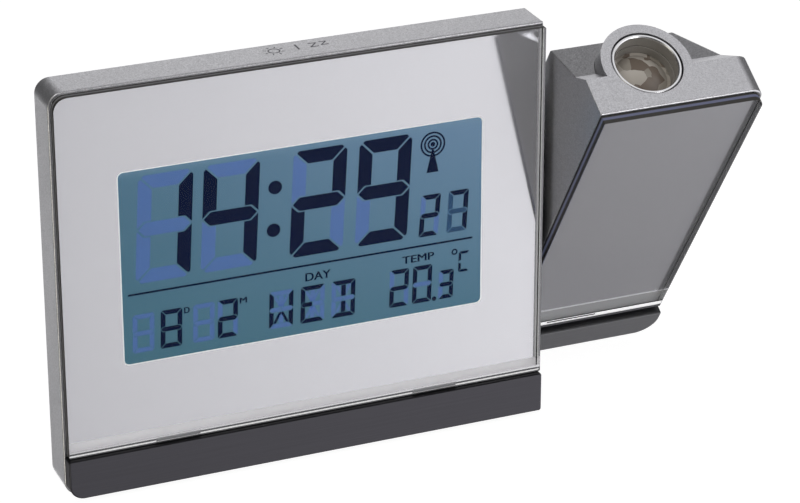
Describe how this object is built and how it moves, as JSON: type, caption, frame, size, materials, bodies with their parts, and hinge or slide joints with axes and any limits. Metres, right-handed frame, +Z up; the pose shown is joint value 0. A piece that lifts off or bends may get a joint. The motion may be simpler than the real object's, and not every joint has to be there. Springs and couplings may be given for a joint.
{
  "type": "projection alarm clock",
  "caption": "Upright digital alarm clock with a backlit display and a swivelling projector head at its right side.",
  "frame": {"origin": "on the table, under the middle of the whole clock with its head at the pictured tilt", "axes": "+X from the display to the projector head, +Y from the front to the back, +Z up"},
  "size_m": [0.1564, 0.0694, 0.0967],
  "materials": {
    "silver_shell": "satin silver paint with fine sparkle on ABS",
    "mirror_plate": "clear acrylic with a mirror-silver print on its back",
    "dark_bar": "brushed gunmetal finish on plastic",
    "display_glass": "polished glass with a blue tint",
    "clear_plastic": "clear moulded plastic",
    "dark_optics": "matt black moulding",
    "bright_ring": "bright silver plating",
    "black_button": "matt dark grey moulding",
    "white_plastic": "matt white moulding",
    "circuit_board": "green solder mask",
    "resin": "black resin",
    "switch_body": "black moulding",
    "steel": "zinc-plated steel",
    "brass": "turned brass",
    "nickel_contact": "nickel-plated spring steel",
    "cell_wrap": "printed sleeve, plain",
    "ferrite": "dark ferrite with a copper winding",
    "lead_sleeve": "PVC sleeve",
    "rubber_foot": "matt black rubber",
    "elastomer": "striped conductive rubber"
  },
  "bodies": {
    "root": {"main_front_housing": "silver_shell", "main_rear_housing": "silver_shell", "main_lens_plate": "mirror_plate", "main_base_bar": "dark_bar", "display_glass": "display_glass", "display_holder": "white_plastic", "elastomer_connectors": "elastomer", "light_guide": "clear_plastic", "backlight_films": "white_plastic", "backlight_leds": "white_plastic", "main_board": "circuit_board", "board_screws": "steel", "board_components": "resin", "touch_electrode": "nickel_contact", "temperature_sensor": "resin", "radio_antenna": "ferrite", "radio_board": "circuit_board", "buzzer": "switch_body", "button_board": "circuit_board", "tact_switches": "switch_body", "projection_switch": "switch_body", "cells": "cell_wrap", "battery_contacts": "nickel_contact", "power_socket": "switch_body", "hinge_bush": "brass", "friction_washer": "steel", "thrust_washer": "switch_body", "projector_lead_main": "lead_sleeve", "lead_connector": "white_plastic", "housing_screws": "steel", "rubber_feet": "rubber_foot"},
    "head": {"head_front_housing": "silver_shell", "head_rear_housing": "silver_shell", "head_lens_plate": "mirror_plate", "head_base_bar": "dark_bar", "retaining_clip": "steel", "hinge_shaft": "dark_optics", "small_head_screws": "steel", "projector_lead_head": "lead_sleeve", "projector_tube": "dark_optics", "projection_display": "display_glass", "condenser_lens": "clear_plastic", "projector_led": "clear_plastic", "led_board": "circuit_board", "flip_board": "circuit_board", "flip_switch": "switch_body", "head_screws": "steel"},
    "focus_ring": {"focus_ring": "bright_ring"},
    "lens_carrier": {"lens_carrier": "dark_optics", "front_lens": "clear_plastic", "inner_lens": "clear_plastic"},
    "battery_door": {"battery_door": "silver_shell"},
    "mode_button": {"mode_button": "black_button"},
    "alarm_button": {"alarm_button": "black_button"},
    "up_button": {"up_button": "black_button"},
    "down_button": {"down_button": "black_button"},
    "radio_button": {"radio_button": "black_button"},
    "projection_knob": {"projection_knob": "black_button"},
    "flip_button": {"flip_button": "black_button"}
  },
  "joints": [
    {"name": "head_tilt", "type": "hinge", "parent": "root", "child": "head", "pos_m": [0.03725, 0.00103, 0.0437], "axis": [1, 0, 0], "range_deg": [-123.3, 56.7]},
    {"name": "focus_turn", "type": "hinge", "parent": "head", "child": "focus_ring", "pos_m": [0.05354, -0.02359, 0.0907], "axis": [0, -0.549, 0.8358], "range_deg": [-135, 135]},
    {"name": "lens_slide", "type": "slide", "parent": "head", "child": "lens_carrier", "axis": [0, -0.549, 0.8358], "range_m": [-0.0008, 0.0008]},
    {"name": "mode_press", "type": "slide", "parent": "root", "child": "mode_button", "axis": [0, -1, 0], "range_m": [0, 0.0006], "stiffness_N_per_m": 1500},
    {"name": "alarm_press", "type": "slide", "parent": "root", "child": "alarm_button", "axis": [0, -1, 0], "range_m": [0, 0.0006], "stiffness_N_per_m": 1500},
    {"name": "up_press", "type": "slide", "parent": "root", "child": "up_button", "axis": [0, -1, 0], "range_m": [0, 0.0006], "stiffness_N_per_m": 1500},
    {"name": "down_press", "type": "slide", "parent": "root", "child": "down_button", "axis": [0, -1, 0], "range_m": [0, 0.0006], "stiffness_N_per_m": 1500},
    {"name": "radio_press", "type": "slide", "parent": "root", "child": "radio_button", "axis": [0, -1, 0], "range_m": [0, 0.0006], "stiffness_N_per_m": 1500},
    {"name": "flip_press", "type": "slide", "parent": "head", "child": "flip_button", "axis": [0, -0.8358, -0.549], "range_m": [0, 0.0006], "stiffness_N_per_m": 1500},
    {"name": "projection_slide", "type": "slide", "parent": "root", "child": "projection_knob", "axis": [1, 0, 0], "range_m": [0, 0.003]},
    {"name": "door_slide", "type": "slide", "parent": "root", "child": "battery_door", "axis": [-1, 0, 0], "range_m": [0, 0.008]}
  ],
  "couplings": [
    {"joint": "lens_slide", "follows": "focus_turn", "m_per_rad": 0.00033953}
  ]
}
